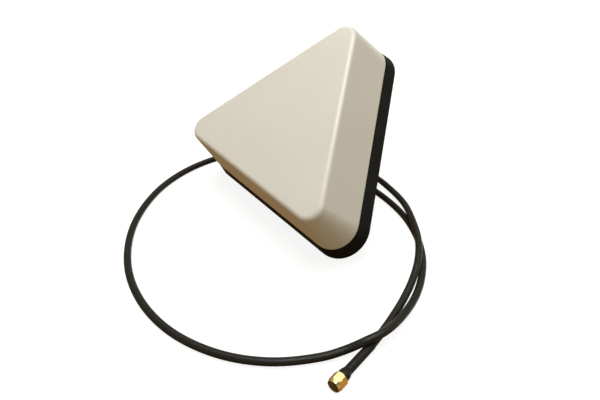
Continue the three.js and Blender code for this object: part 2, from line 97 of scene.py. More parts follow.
# Gland, standing out of the back face.
GLAND_HOLE_RADIUS = 6.3
GLAND_BORE_RADIUS = 2.8
GLAND_LENGTH = 19
GLAND_FLANGE_TOP = -1.8
GLAND_FLANGE_BOTTOM = -6.8
GLAND_FLANGE_CORNERS = 18.4
GLAND_STEM_TOP = TRAY_FLOOR + 5.9
GLAND_THREAD_DEPTH = 0.35
GLAND_LOCKNUT_CORNERS = 19.6
GLAND_LOCKNUT_TOP = TRAY_FLOOR + 5
GLAND_SEAL_RADIUS = 8
GLAND_SEAL_BOTTOM = -1.5
GLAND_BUSH_RADIUS = 4
GLAND_BUSH_TOP = -9.3
GLAND_BUSH_BOTTOM = -13
GLAND_CAP_TOP = -7.1
GLAND_CAP_SEAT = -13.4
GLAND_CAP_BORE = 5.8
GLAND_CAP_RIBS = 18

# Plug, along its own axis.
SLEEVE_LENGTH = 28.5
SLEEVE_RADIUS = 2.75
SLEEVE_FLARE_RADIUS = 3.6
SLEEVE_FLARE_START = 24.8
SLEEVE_MOUTH_RADIUS = 3.2
SLEEVE_BORE = 2.5
FERRULE_BORE = 1.4
FERRULE_RADIUS = 2.9
NUT_START = 28.8
NUT_LENGTH = 7.6
NUT_MOUTH_RADIUS = 3.75
NUT_TAPER = 3.2
NUT_ACROSS_FLATS = 8
NUT_BACK_BORE = 2.6
NUT_THREAD_BORE = 3.25
NUT_THREAD_PITCH = 0.7
NUT_SHOULDER = NUT_START + 1.4
NUT_END = NUT_START + NUT_LENGTH
NUT_MIDDLE = NUT_START + NUT_LENGTH / 2
SHELL_START = NUT_START + 0.2
SHELL_END = NUT_END - 2.6
SHELL_FLOOR = SHELL_START + 3
SHELL_RADIUS = 2.3
SHELL_BORE = 1.85
SHELL_BACK_BORE = 0.8
RING_GROOVE_RADIUS = 1.95
RING_GROOVE_START = SHELL_START + 1.8
RING_GROOVE_END = SHELL_START + 2.6
RING_RADIUS = 2.8
INSULATOR_RADIUS = 1.55
PIN_RADIUS = 0.46

# Cord. The route is the CAD's, in metres, from after the gland's mouth to before the plug.
CORD_DIAMETER = 4.95
CORD_SIDES = 24
CORD_STEPS = 8
CORD_ROUTE = [
    (0, 0.0165, 0.0188), (0.0016, 0.0233, 0.0125), (0.0063, 0.0297, 0.0078),
    (0.014, 0.0348, 0.0049), (0.0255, 0.0379, 0.0032), (0.04, 0.0383, 0.0027),
    (0.058, 0.036, 0.0026), (0.0753, 0.0307, 0.0026), (0.096, 0.0189, 0.0026),
    (0.111, 0.0049, 0.0026), (0.1228, -0.0122, 0.0027), (0.1303, -0.0288, 0.0032),
    (0.1361, -0.0508, 0.0066), (0.1376, -0.0658, 0.0091), (0.1352, -0.0776, 0.0086),
    (0.1302, -0.0887, 0.0043), (0.1242, -0.1024, 0.0028), (0.1088, -0.1266, 0.0027),
    (0.0866, -0.1462, 0.0026), (0.057, -0.1596, 0.0026), (0.024, -0.163, 0.0026),
    (-0.011, -0.1555, 0.0026), (-0.047, -0.1336, 0.0026), (-0.075, -0.0977, 0.0026),
    (-0.086, -0.056, 0.0026), (-0.079, -0.01, 0.0026), (-0.054, 0.0314, 0.0026),
    (-0.018, 0.051, 0.0026), (0.021, 0.0537, 0.0027), (0.0411, 0.0505, 0.003),
    (0.062, 0.0416, 0.0059), (0.08, 0.029, 0.0084), (0.0989, 0.0134, 0.0084),
    (0.111, -0.0016, 0.0069), (0.1193, -0.017, 0.0044), (0.1257, -0.0334, 0.0028),
    (0.1314, -0.0519, 0.0026), (0.1339, -0.0616, 0.0026),
]


# ---- Frames ----

def own_frame(origin, z_axis, x_hint):
    """A frame at origin with that Z axis, and its X axis as near as it can be to the hint."""
    z = Vector(z_axis).normalized()
    x = (Vector(x_hint) - z * z.dot(Vector(x_hint))).normalized()
    y = z.cross(x)
    return Matrix.Translation(origin) @ Matrix((x, y, z)).transposed().to_4x4()


def housing_frame():
    mount = next(m for m in frame["record"]["mounts"] if m["name"] == "bracket_pad")
    turned = own_frame(mount["pos_m"], -Vector(mount["axis"]), (1, 0, 0))
    return turned @ Matrix.Translation(-Vector(MOUNT_PLACE) * MM)


def plug_frame():
    joint = frame["joints"][0]
    turned = own_frame(joint["pos_m"], joint["axis"], (0, 0, -1))
    return turned @ Matrix.Translation((0, 0, -NUT_MIDDLE * MM))


HOUSING = housing_frame()
PLUG = plug_frame()


# ---- Camera ----

def add_camera():
    """Looks from the front right, at about 38 degrees above the table, with the small tilt of a hand."""
    right = Vector((0.6421, 0.7657, 0.0372))
    up = Vector((-0.4863, 0.3693, 0.7919))
    back = Vector((0.5927, -0.5266, 0.6095))
    data = bpy.data.cameras.new("camera")
    data.sensor_width = 36
    data.lens = 28.53
    camera = bpy.data.objects.new("camera", data)
    camera.matrix_world = Matrix((right, up, back)).transposed().to_4x4()
    camera.location = (0.2319, -0.2194, 0.2347)
    scene.collection.objects.link(camera)
    scene.camera = camera


# ---- Materials ----

def ramp(nodes, links, source, stops, interpolation="LINEAR"):
    node = nodes.new("ShaderNodeValToRGB")
    node.color_ramp.interpolation = interpolation
    elements = node.color_ramp.elements
    while len(elements) < len(stops):
        elements.new(0.5)
    for element, (place, colour) in zip(elements, stops):
        element.position = place
        element.color = (*colour, 1)
    links.new(source, node.inputs["Fac"])
    return node.outputs["Color"]


def map_range(nodes, links, source, from_min, from_max, to_min, to_max):
    node = nodes.new("ShaderNodeMapRange")
    node.inputs["From Min"].default_value = from_min
    node.inputs["From Max"].default_value = from_max
    node.inputs["To Min"].default_value = to_min
    node.inputs["To Max"].default_value = to_max
    links.new(source, node.inputs["Value"])
    return node.outputs["Result"]


def math_node(nodes, links, operation, first, second):
    node = nodes.new("ShaderNodeMath")
    node.operation = operation
    for socket, value in zip(node.inputs, (first, second)):
        if isinstance(value, (int, float)):
            socket.default_value = value
        else:
            links.new(value, socket)
    return node.outputs["Value"]


def mix_colour(nodes, links, factor, first, second, blend="MIX"):
    node = nodes.new("ShaderNodeMix")
    node.data_type = "RGBA"
    node.blend_type = blend
    sockets = (node.inputs[0], node.inputs[6], node.inputs[7])
    for socket, value in zip(sockets, (factor, first, second)):
        if isinstance(value, (int, float)):
            socket.default_value = value
        elif isinstance(value, tuple):
            socket.default_value = (*value, 1)
        else:
            links.new(value, socket)
    return node.outputs[2]


class Surface:
    """A procedural material on the coordinates of a frame, in metres."""

    def __init__(self, name, space, metallic=0.0, specular=0.5, coat=0.0, sheen=0.0):
        self.material = bpy.data.materials.new(name)
        self.material.use_nodes = True
        tree = self.material.node_tree
        self.nodes, self.links = tree.nodes, tree.links
        self.shader = self.nodes["Principled BSDF"]
        values = {
            "Metallic": metallic,
            "Specular IOR Level": specular,
            "Coat Weight": coat,
            "Coat Roughness": 0.1,
            "Sheen Weight": sheen,
        }
        for socket, value in values.items():
            self.shader.inputs[socket].default_value = value
        self.normal = None
        into = space.inverted()
        own = self.nodes.new("ShaderNodeMapping")
        own.inputs["Location"].default_value = into.translation
        own.inputs["Rotation"].default_value = into.to_euler()
        self.links.new(self.nodes.new("ShaderNodeTexCoord").outputs["Object"], own.inputs["Vector"])
        self.place = own.outputs["Vector"]

    def stretched(self, scale):
        node = self.nodes.new("ShaderNodeMapping")
        node.inputs["Scale"].default_value = scale
        self.links.new(self.place, node.inputs["Vector"])
        return node.outputs["Vector"]

    def noise(self, scale, detail=3.0, roughness=0.55, where=None):
        node = self.nodes.new("ShaderNodeTexNoise")
        node.inputs["Scale"].default_value = scale
        node.inputs["Detail"].default_value = detail
        node.inputs["Roughness"].default_value = roughness
        self.links.new(where or self.place, node.inputs["Vector"])
        return node.outputs["Fac"]

    def tones(self, source, *stops):
        return ramp(self.nodes, self.links, source, stops)

    def range(self, source, *limits):
        return map_range(self.nodes, self.links, source, *limits)

    def maths(self, operation, first, second=0.0):
        return math_node(self.nodes, self.links, operation, first, second)

    def mix(self, factor, first, second, blend="MIX"):
        return mix_colour(self.nodes, self.links, factor, first, second, blend)

    def colour(self, source):
        self.links.new(source, self.shader.inputs["Base Color"])

    def roughness(self, source):
        self.links.new(source, self.shader.inputs["Roughness"])

    def bump(self, source, depth, strength=1.0):
        """Relief of that depth in millimetres, on top of any that is there already."""
        node = self.nodes.new("ShaderNodeBump")
        node.inputs["Distance"].default_value = depth * MM
        node.inputs["Strength"].default_value = strength
        self.links.new(source, node.inputs["Height"])
        if self.normal is not None:
            self.links.new(self.normal, node.inputs["Normal"])
        self.normal = node.outputs["Normal"]
        self.links.new(self.normal, self.shader.inputs["Normal"])

    def height(self):
        """Z in the frame, in metres."""
        node = self.nodes.new("ShaderNodeSeparateXYZ")
        self.links.new(self.place, node.inputs["Vector"])
        return node.outputs["Z"]

    def radius(self):
        """Distance from the frame's Z axis, in metres."""
        node = self.nodes.new("ShaderNodeSeparateXYZ")
        self.links.new(self.place, node.inputs["Vector"])
        squares = [self.maths("MULTIPLY", node.outputs[axis], node.outputs[axis]) for axis in "XY"]
        return self.maths("SQRT", self.maths("ADD", *squares))

    def attribute(self, name):
        node = self.nodes.new("ShaderNodeAttribute")
        node.attribute_name = name
        return node.outputs["Fac"]


def cream_plastic():
    """Satin moulded plastic: faint clouds of tone, a fine grain, and a little dirt above the seam."""
    s = Surface("cream_plastic", HOUSING, specular=0.5)
    clouds = s.noise(16, 4)
    base = s.tones(clouds, (0.3, (0.679, 0.638, 0.561)), (0.7, (0.71, 0.678, 0.612)))
    freckles = s.noise(900, 2)
    base = s.mix(s.range(freckles, 0.68, 0.8, 0, 0.16), base, (0.54, 0.48, 0.39))
    dirt_reach = s.maths("ADD", s.height(), s.maths("MULTIPLY", s.noise(60, 5), -0.0028))
    dirt = s.range(dirt_reach, 0.0108, 0.0132, 0.35, 0.0)
    base = s.mix(dirt, base, (0.4, 0.33, 0.23))
    s.colour(base)
    rubbed = s.noise(34, 5, 0.6)
    s.roughness(s.range(rubbed, 0.3, 0.7, 0.34, 0.44))
    s.bump(s.noise(28, 2), 0.1, 0.25)
    s.bump(s.noise(1500, 3), 0.02, 0.5)
    return s.material


def black_plastic():
    """Matt black moulded plastic with a spark-eroded texture, and dust in its texture."""
    s = Surface("black_plastic", HOUSING, specular=0.1)
    clouds = s.noise(40, 4)
    base = s.tones(clouds, (0.3, (0.006, 0.0056, 0.0045)), (0.7, (0.0095, 0.0088, 0.007)))
    dust = s.noise(1100, 3, 0.7)
    base = s.mix(s.range(dust, 0.62, 0.78, 0, 0.16), base, (0.16, 0.145, 0.12))
    s.colour(base)
    s.roughness(s.range(s.noise(70, 4), 0.3, 0.7, 0.56, 0.7))
    s.bump(s.noise(1300, 3, 0.7), 0.045, 0.7)
    return s.material


def black_rubber():
    """Dull rubber with a soft bloom."""
    s = Surface("black_rubber", HOUSING, specular=0.3, sheen=0.1)
    base = s.tones(s.noise(300, 4), (0.3, (0.009, 0.009, 0.009)), (0.75, (0.02, 0.019, 0.018)))
    s.colour(base)
    s.roughness(s.range(s.noise(500, 3), 0.3, 0.7, 0.7, 0.88))
    s.bump(s.noise(1800, 2), 0.03, 0.5)
    return s.material


def metal(name, space, dark, light, roughness, grain, shade_within=0.0):
    """Turned or plated metal: fine rings around the piece's axis, smudges in its polish, and painted shade
    on what lies within a radius of the axis, in millimetres, which darkens its colour to brown and roughens it."""
    s = Surface(name, space, metallic=1.0)
    base = s.tones(s.noise(220, 4), (0.25, dark), (0.75, light))
    smudges = s.range(s.noise(420, 4), 0.3, 0.7, roughness * 0.8, roughness * 1.25)
    # Painted shade: within that radius of the axis, inside the nut, the colour is darkened to brown and the finish
    # roughened.
    if shade_within:
        inner_shade = s.range(s.radius(), (shade_within - 0.1) * MM, shade_within * MM, 1.0, 0.0)
        base = s.mix(inner_shade, base, (0.36, 0.24, 0.095))
        smudges = s.maths("ADD", smudges, s.maths("MULTIPLY", inner_shade, 0.3))
    s.colour(base)
    s.roughness(smudges)
    s.bump(s.noise(1.0, 2, 0.6, s.stretched((150, 150, grain))), 0.006, 0.45)
    return s.material


def circuit_board():
    """Green solder mask over a woven glass laminate."""
    s = Surface("board", HOUSING, specular=0.5, coat=0.25)
    weave = s.nodes.new("ShaderNodeTexBrick")
    weave.inputs["Scale"].default_value = 900
    weave.inputs["Mortar Size"].default_value = 0.06
    weave.inputs["Color1"].default_value = (0.024, 0.11, 0.045, 1)
    weave.inputs["Color2"].default_value = (0.03, 0.13, 0.055, 1)
    weave.inputs["Mortar"].default_value = (0.02, 0.085, 0.036, 1)
    s.links.new(s.place, weave.inputs["Vector"])
    clouds = s.range(s.noise(50, 3), 0.3, 0.7, 0, 0.5)
    s.colour(s.mix(clouds, weave.outputs["Color"], (0.018, 0.09, 0.035)))
    s.roughness(s.range(s.noise(200, 3), 0.3, 0.7, 0.3, 0.42))
    s.bump(weave.outputs["Fac"], 0.02, 0.3)
    return s.material


def cord_jacket():
    """Extruded black jacket: soft sheen, faint lines along it, handling marks and dust."""
    s = Surface("cord_jacket", PLUG, specular=0.27)
    base = s.tones(s.noise(90, 4), (0.3, (0.0095, 0.0082, 0.0056)), (0.72, (0.015, 0.013, 0.009)))
    dust = s.noise(1300, 3, 0.7)
    base = s.mix(s.range(dust, 0.64, 0.8, 0, 0.22), base, (0.19, 0.175, 0.15))
    s.colour(base)
    s.roughness(s.range(s.noise(160, 5), 0.3, 0.7, 0.4, 0.54))
    lines = s.nodes.new("ShaderNodeCombineXYZ")
    s.links.new(s.attribute("around"), lines.inputs["X"])
    s.links.new(s.maths("MULTIPLY", s.attribute("along"), 6.0), lines.inputs["Y"])
    s.bump(s.noise(5.0, 4, 0.6, lines.outputs["Vector"]), 0.05, 0.35)
    s.bump(s.noise(1600, 2), 0.02, 0.4)
    return s.material


def sleeve_plastic():
    """Shrunk sleeve: matt, with faint wrinkles across it."""
    s = Surface("sleeve", PLUG, specular=0.25)
    base = s.tones(s.noise(260, 4), (0.3, (0.0088, 0.0076, 0.0052)), (0.72, (0.0135, 0.0118, 0.0082)))
    base = s.mix(s.range(s.noise(1300, 3, 0.7), 0.64, 0.8, 0, 0.18), base, (0.17, 0.155, 0.13))
    s.colour(base)
    s.roughness(s.range(s.noise(300, 4), 0.3, 0.7, 0.46, 0.6))
    s.bump(s.noise(1.0, 3, 0.6, s.stretched((160, 160, 900))), 0.05, 0.4)
    s.bump(s.noise(1700, 2), 0.02, 0.4)
    return s.material


def white_plastic():
    """The plug's insulator: waxy white."""
    s = Surface("white_plastic", PLUG, specular=0.45)
    s.colour(s.tones(s.noise(500, 3), (0.3, (0.8, 0.79, 0.76)), (0.7, (0.87, 0.86, 0.83))))
    s.roughness(s.range(s.noise(700, 3), 0.3, 0.7, 0.4, 0.5))
    s.bump(s.noise(2200, 2), 0.01, 0.3)
    return s.material


MATERIALS = {
    "cream_plastic": cream_plastic(),
    "black_plastic": black_plastic(),
    "black_rubber": black_rubber(),
    "steel": metal("steel", HOUSING, (0.5, 0.51, 0.53), (0.64, 0.65, 0.67), 0.3, 5000),
    "brass": metal("brass", HOUSING, (0.52, 0.35, 0.13), (0.68, 0.48, 0.2), 0.34, 6000),
    "board": circuit_board(),
    "copper": metal("copper", HOUSING, (0.6, 0.29, 0.17), (0.74, 0.4, 0.26), 0.36, 3000),
    "cord_jacket": cord_jacket(),
    "sleeve": sleeve_plastic(),
    # The gold's last number is the radius around the plug's axis, in millimetres, within which painted shade
    # darkens it.
    "gold": metal("gold", PLUG, (0.88, 0.68, 0.32), (0.98, 0.82, 0.45), 0.19, 5000, 3.45),
    "white_plastic": white_plastic(),
}


# ---- Shapes, in millimetres ----

def rounded(corners, closed=False, steps=4):
    """A line through corners of (across, along, radius), each turned on its radius."""
    points = []
    count = len(corners)
    for i, (across, along, radius) in enumerate(corners):
        here = Vector((across, along))
        if radius == 0 or (not closed and i in (0, count - 1)):
            points.append(here)
            continue
        before = Vector(corners[i - 1][:2]) - here
        after = Vector(corners[(i + 1) % count][:2]) - here
        half = before.angle(after) / 2
        reach = min(radius / math.tan(half), 0.49 * before.length, 0.49 * after.length)
        middle = (before.normalized() + after.normalized()).normalized()
        centre = here + middle * reach / math.cos(half)
        first = here + before.normalized() * reach - centre
        last = here + after.normalized() * reach - centre
        turn = first.angle(last)
        for step in range(steps + 1):
            share = step / steps
            blend = first * math.sin((1 - share) * turn) + last * math.sin(share * turn)
            points.append(centre + blend / math.sin(turn))
    return [(p.x, p.y) for p in points]


def outline(inset):
    """The housing's outline moved in by inset, counter-clockwise from the left corner."""
    radius = CORNER_RADIUS - inset
    to_arc_centre = SIDE / math.sqrt(3) - 2 * CORNER_RADIUS
    points = []
    for degrees in (-150, -30, 90):
        corner = math.radians(degrees)
        for step in range(CORNER_STEPS + 1):
            angle = corner + (math.pi / 3) * (2 * step / CORNER_STEPS - 1)
            x = to_arc_centre * math.cos(corner) + radius * math.cos(angle)
            y = to_arc_centre * math.sin(corner) + radius * math.sin(angle)
            points.append((x, y))
    return points


def join_rings(bm, rings):
    """Faces between each ring of vertices and the next. A ring of one vertex is a pole."""
    for low, high in zip(rings, rings[1:]):
        count = max(len(low), len(high))
        for i in range(count):
            j = (i + 1) % count
            corners = (low[i % len(low)], low[j % len(low)], high[j % len(high)], high[i % len(high)])
            bm.faces.new(list(dict.fromkeys(corners)))


def sweep(profile, ring=False):
    """A closed body from (inset, height) points swept around the outline."""
    bm = bmesh.new()
    rings = []
    for inset, height in profile:
        rings.append([bm.verts.new((x, y, height)) for x, y in outline(inset)])
    if ring:
        join_rings(bm, [*rings, rings[0]])
    else:
        join_rings(bm, rings)
        bm.faces.new(rings[0][::-1])
        bm.faces.new(rings[-1])
    return bm


def lathe(profile, sides=64, ring=False):
    """A round body about Z from (radius, height) points."""
    bm = bmesh.new()
    angles = [2 * math.pi * side / sides for side in range(sides)]
    rings = []
    for radius, height in profile:
        if radius < 1e-6:
            rings.append([bm.verts.new((0, 0, height))])
            continue
        around = [(radius * math.cos(a), radius * math.sin(a), height) for a in angles]
        rings.append([bm.verts.new(point) for point in around])
    join_rings(bm, [*rings, rings[0]] if ring else rings)
    return bm


def prism(points, low, high):
    bm = bmesh.new()
    rings = [[bm.verts.new((x, y, z)) for x, y in points] for z in (low, high)]
    join_rings(bm, rings)
    bm.faces.new(rings[0][::-1])
    bm.faces.new(rings[1])
    return bm


def cylinder(radius, low, high, x=0.0, y=0.0, sides=40):
    angles = [i * (2 * math.pi / sides) for i in range(sides)]
    points = [(x + radius * math.cos(a), y + radius * math.sin(a)) for a in angles]
    return prism(points, low, high)


def hexagon(across_corners, corner_round, turned=0.0, steps=4):
    """Points of a regular hexagon with small round corners. Its first corner is at the angle turned."""
    radius = across_corners / 2
    corners = []
    for side in range(6):
        angle = turned + side * math.pi / 3
        corners.append((radius * math.cos(angle), radius * math.sin(angle), corner_round))
    return rounded(corners, True, steps)


def mesh_of(bm, name):
    """A mesh in metres from a bmesh in millimetres."""
    bmesh.ops.recalc_face_normals(bm, faces=bm.faces)
    bmesh.ops.scale(bm, vec=(MM, MM, MM), verts=bm.verts)
    mesh = bpy.data.meshes.new(name)
    bm.to_mesh(mesh)
    bm.free()
    return mesh


def merged(bodies):
    """Several separate bodies as one bmesh."""
    whole = bmesh.new()
    for body in bodies:
        mesh = bpy.data.meshes.new("part")
        body.to_mesh(mesh)
        body.free()
        whole.from_mesh(mesh)
        bpy.data.meshes.remove(mesh)
    return whole


def carved(base, operations):
    """The mesh of base after each (operation, bodies) is done on it, with exact booleans."""
    shape = bpy.data.objects.new("shape", mesh_of(base, "shape"))
    scene.collection.objects.link(shape)
    tools = []
    for operation, bodies in operations:
        tool = bpy.data.objects.new("tool", mesh_of(merged(bodies), "tool"))
        scene.collection.objects.link(tool)
        tools.append(tool)
        modifier = shape.modifiers.new("carve", "BOOLEAN")
        modifier.operation = operation
        modifier.solver = "EXACT"
        modifier.object = tool
    bpy.context.view_layer.update()
    depsgraph = bpy.context.evaluated_depsgraph_get()
    mesh = bpy.data.meshes.new_from_object(shape.evaluated_get(depsgraph))
    for o in (shape, *tools):
        bpy.data.objects.remove(o)
    bm = bmesh.new()
    bm.from_mesh(mesh)
    bmesh.ops.remove_doubles(bm, verts=bm.verts, dist=0.002 * MM)
    bm.to_mesh(mesh)
    bm.free()
    return mesh


def add_piece(name, mesh, place, slot, body="antenna", stands_for=(), sharp=32):
    """An object at that frame, smooth but for its sharp edges, in the finish of the slot."""
    if isinstance(mesh, bmesh.types.BMesh):
        mesh = mesh_of(mesh, name)
    mesh.transform(place)
    mesh.materials.clear()
    mesh.materials.append(MATERIALS[slot])
    mesh.shade_smooth()
    mesh.set_sharp_from_angle(angle=math.radians(sharp))
    piece = bpy.data.objects.new(name, mesh)
    scene.collection.objects.link(piece)
    weighted = piece.modifiers.new("weighted_normals", "WEIGHTED_NORMAL")
    weighted.keep_sharp = True
    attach(piece, body)
    if stands_for:
        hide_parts(*stands_for)
    return piece


# ---- Housing ----

def screw_places():
    """The three corners and the middles of the three sides."""
    edge = SIDE / (2 * math.sqrt(3))
    corner_distance = 2 * edge - CORNER_RADIUS - BOSS_INSET
    side_distance = edge - BOSS_INSET
    polar = [(degrees, corner_distance) for degrees in (-150, -30, 90)]
    polar += [(degrees, side_distance) for degrees in (-90, 30, 150)]
    return [(r * math.cos(math.radians(d)), r * math.sin(math.radians(d))) for d, r in polar]


def mount_places():
    half = MOUNT_PITCH / 2
    return [(-half, -half), (half, -half), (half, half), (-half, half)]


def add_tray():
    """A flared tray: a ledge inside its wall, pads and insert bosses at the mounts, and board posts."""
    inner = TRAY_TAPER + TRAY_WALL
    ledge = inner + 2 * GAP + LIP_WIDTH
    profile = rounded([
        (6, 0, 0),
        (TRAY_EDGE, 0, 0.25),
        (TRAY_TAPER * TRAY_EDGE / TRAY_HEIGHT, TRAY_EDGE, 0.25),
        (TRAY_TAPER, TRAY_HEIGHT, 0.35),
        (inner, TRAY_HEIGHT, 0.2),
        (inner, LEDGE_HEIGHT, 0.2),
        (ledge, LEDGE_HEIGHT, 0.3),
        (ledge, TRAY_FLOOR, 0.5),
        (ledge + 4, TRAY_FLOOR, 0),
    ])
    sunk = TRAY_FLOOR / 2
    recess = SCREW_HEAD_HEIGHT + 2 * GAP
    mounts, screws = mount_places(), screw_places()
    pads = [mount_pad(x, y, sunk) for x, y in mounts]
    bosses = [cylinder(INSERT_BOSS_RADIUS, sunk, INSERT_BOSS_HEIGHT, x, y) for x, y in mounts]
    posts = [cylinder(BOARD_POST_RADIUS, sunk, BOARD_HEIGHT - GAP, x, y) for x, y in BOARD_POSTS]
    holes = [cylinder(INSERT_RADIUS, -3, INSERT_DEPTH + GAP, x, y) for x, y in mounts]
    holes += [cylinder(SCREW_RADIUS, TRAY_FLOOR + 2, BOARD_HEIGHT + 1, x, y) for x, y in BOARD_POSTS]
    holes += [cylinder(SCREW_RADIUS + GAP, recess - 1, TRAY_FLOOR + 1, x, y) for x, y in screws]
    recesses = [countersink(SCREW_HEAD_RADIUS + GAP, recess, x, y) for x, y in screws]
    gland_hole = [cylinder(GLAND_HOLE_RADIUS, -1, TRAY_FLOOR + 1, sides=64)]
    mesh = carved(sweep(profile), [
        ("UNION", pads),
        ("UNION", [*bosses, *posts]),
        ("DIFFERENCE", [*holes, *gland_hole]),
        ("DIFFERENCE", recesses),
    ])
    add_piece("tray", mesh, HOUSING, "black_plastic", stands_for=["back_tray"], sharp=40)


def moved(bm, x, y):
    bmesh.ops.translate(bm, vec=(x, y, 0), verts=bm.verts)
    return bm


def mount_pad(x, y, top):
    """A raised round pad on the back, with a soft edge."""
    edge = rounded([
        (0, -PAD_HEIGHT, 0),
        (PAD_RADIUS, -PAD_HEIGHT, 0.4),
        (PAD_RADIUS, top, 0),
        (0, top, 0),
    ])
    return moved(lathe(edge, 48), x, y)


def countersink(radius, depth, x, y):
    """A blind round recess with a softened mouth."""
    mouth = [(0, -1), (radius + 1.4, -1), (radius + 0.4, 0), (radius + 0.12, 0.14), (radius, 0.4)]
    return moved(lathe([*mouth, (radius, depth), (0, depth)], 48), x, y)


def add_cover():
    """A hollow cover with a soft front edge, a lip inside the tray's wall, and posts for the screws."""
    wall_height = HOUSING_HEIGHT - TRAY_HEIGHT
    draft = math.atan(COVER_TAPER / wall_height)

    def wall_inset(height):
        return TRAY_TAPER + COVER_TAPER * (height - TRAY_HEIGHT) / wall_height

    centre_height = HOUSING_HEIGHT - FRONT_FILLET
    centre_inset = wall_inset(centre_height) + FRONT_FILLET / math.cos(draft)
    inward = COVER_WALL / math.cos(draft)
    steps = 12
    outer, inner = [], []
    for step in range(steps + 1):
        angle = draft + (math.pi / 2 - draft) * step / steps
        for line, fillet in ((outer, FRONT_FILLET), (inner, FRONT_FILLET - COVER_WALL)):
            across = centre_inset - fillet * math.cos(angle)
            line.append((across, centre_height + fillet * math.sin(angle)))
    seam = TRAY_HEIGHT + GAP
    lip_outer = TRAY_TAPER + TRAY_WALL + GAP
    lip_inner = lip_outer + LIP_WIDTH
    lip_bottom = LEDGE_HEIGHT + SEAL_HEIGHT + 2 * GAP
    lip_top = seam + 4
    lip = rounded([
        (wall_inset(lip_top + 3) + inward, lip_top + 3, 0),
        (wall_inset(lip_top) + inward, lip_top, 0.4),
        (lip_inner, lip_top, 0.4),
        (lip_inner, lip_bottom, 0.3),
        (lip_outer, lip_bottom, 0.3),
        (lip_outer, seam, 0.2),
        (wall_inset(seam), seam, 0.45),
        (wall_inset(seam + 4), seam + 4, 0),
    ])
    boss_top = HOUSING_HEIGHT - COVER_WALL / 2
    bosses = [cylinder(BOSS_RADIUS, TRAY_FLOOR + GAP, boss_top, x, y) for x, y in screw_places()]
    holes = [cylinder(SCREW_RADIUS, 0, SCREW_LENGTH + 2, x, y) for x, y in screw_places()]
    mesh = carved(sweep([*inner[::-1], *lip, *outer]), [("UNION", bosses), ("DIFFERENCE", holes)])
    add_piece("radome", mesh, HOUSING, "cream_plastic", stands_for=["radome_cover"], sharp=38)


def block(inner, outer, low, high, soft):
    """Corners of a rectangle for rounded(), all with the same radius."""
    return [(inner, low, soft), (outer, low, soft), (outer, high, soft), (inner, high, soft)]


def add_seal():
    inner = TRAY_TAPER + TRAY_WALL + GAP
    low = LEDGE_HEIGHT + GAP
    ring = rounded(block(inner, inner + LIP_WIDTH, low, low + SEAL_HEIGHT, 0.6), True, 5)
    add_piece("seal", sweep(ring, True), HOUSING, "black_rubber", stands_for=["perimeter_seal"])


def screw_body(head_radius, head_height, length, drive):
    """A pan-head screw with a cross recess, its head down, and a thread as rings on its shank."""
    shank = SCREW_RADIUS - GAP / 2
    head = rounded([
        (0, 0, 0),
        (head_radius * 0.6, 0.02, 0.5),
        (head_radius, head_height * 0.62, 0.5),
        (head_radius, head_height, 0.12),
        (shank, head_height, 0.1),
    ], steps=5)
    root = shank - 0.28
    thread = []
    z = head_height + 0.8
    while z < length - 1.6:
        thread += [(root, z), (shank, z + SCREW_PITCH * 0.45), (root, z + SCREW_PITCH * 0.9)]
        z += SCREW_PITCH
    body = lathe([*head, *thread, (root, length - 1.2), (0, length)], 40)
    slots = []
    half = 0.3
    for turn in (0, math.pi / 2):
        corners = [(-drive, -half), (drive, -half), (drive, half), (-drive, half)]
        slot = prism(corners, -1, head_height * 0.62)
        turned = Matrix.Rotation(turn + 0.4, 3, "Z")
        bmesh.ops.rotate(slot, cent=(0, 0, 0), matrix=turned, verts=slot.verts)
        slots.append(slot)
    return carved(body, [("DIFFERENCE", [slot]) for slot in slots])


def add_screws():
    mesh = screw_body(SCREW_HEAD_RADIUS, SCREW_HEAD_HEIGHT, SCREW_LENGTH, 1.7)
    for i, (x, y) in enumerate(screw_places(), 1):
        turn = Matrix.Rotation(i * 1.3, 4, "Z")
        place = HOUSING @ Matrix.Translation(Vector((x, y, GAP)) * MM) @ turn
        add_piece(f"case_screw_{i}", mesh.copy(), place, "steel", stands_for=[f"cover_screw_{i}"])
    flip = Matrix.Rotation(math.pi, 4, "X")
    top = BOARD_HEIGHT + BOARD_THICKNESS + GAP + BOARD_SCREW_HEAD_HEIGHT
    mesh = screw_body(BOARD_SCREW_HEAD_RADIUS, BOARD_SCREW_HEAD_HEIGHT, BOARD_SCREW_LENGTH, 1.5)
    for i, (x, y) in enumerate(BOARD_POSTS, 1):
        place = HOUSING @ Matrix.Translation(Vector((x, y, top)) * MM) @ flip
        add_piece(f"inner_screw_{i}", mesh.copy(), place, "steel", stands_for=[f"board_screw_{i}"])


def add_inserts():
    """Brass inserts: a flange face at the pad, a threaded bore, and grooves that grip the plastic."""
    low, high = GAP - PAD_HEIGHT, INSERT_DEPTH
    groove_radius = INSERT_RADIUS - 0.4
    outside = [(INSERT_RADIUS - 0.15, low), (INSERT_RADIUS, low + 0.15)]
    for groove in (low + 2.2, low + 4.2):
        outside += [(INSERT_RADIUS, groove), (groove_radius, groove + 0.2)]
        outside += [(groove_radius, groove + 0.7), (INSERT_RADIUS, groove + 0.9)]
    outside += [(INSERT_RADIUS, high - 0.15), (INSERT_RADIUS - 0.15, high)]
    bore = [(INSERT_BORE + 0.25, high)]
    z = high - 0.4
    while z > low + 0.7:
        bore += [(INSERT_BORE + 0.22, z), (INSERT_BORE - 0.12, z - INSERT_PITCH / 2)]
        z -= INSERT_PITCH
    bore += [(INSERT_BORE + 0.3, low)]
    for i, (x, y) in enumerate(mount_places(), 1):
        place = HOUSING @ Matrix.Translation(Vector((x, y, 0)) * MM)
        body = lathe([*outside, *bore], 48, True)
        add_piece(f"insert_{i}", body, place, "brass", stands_for=[f"mounting_insert_{i}"], sharp=28)


# ---- Gland ----

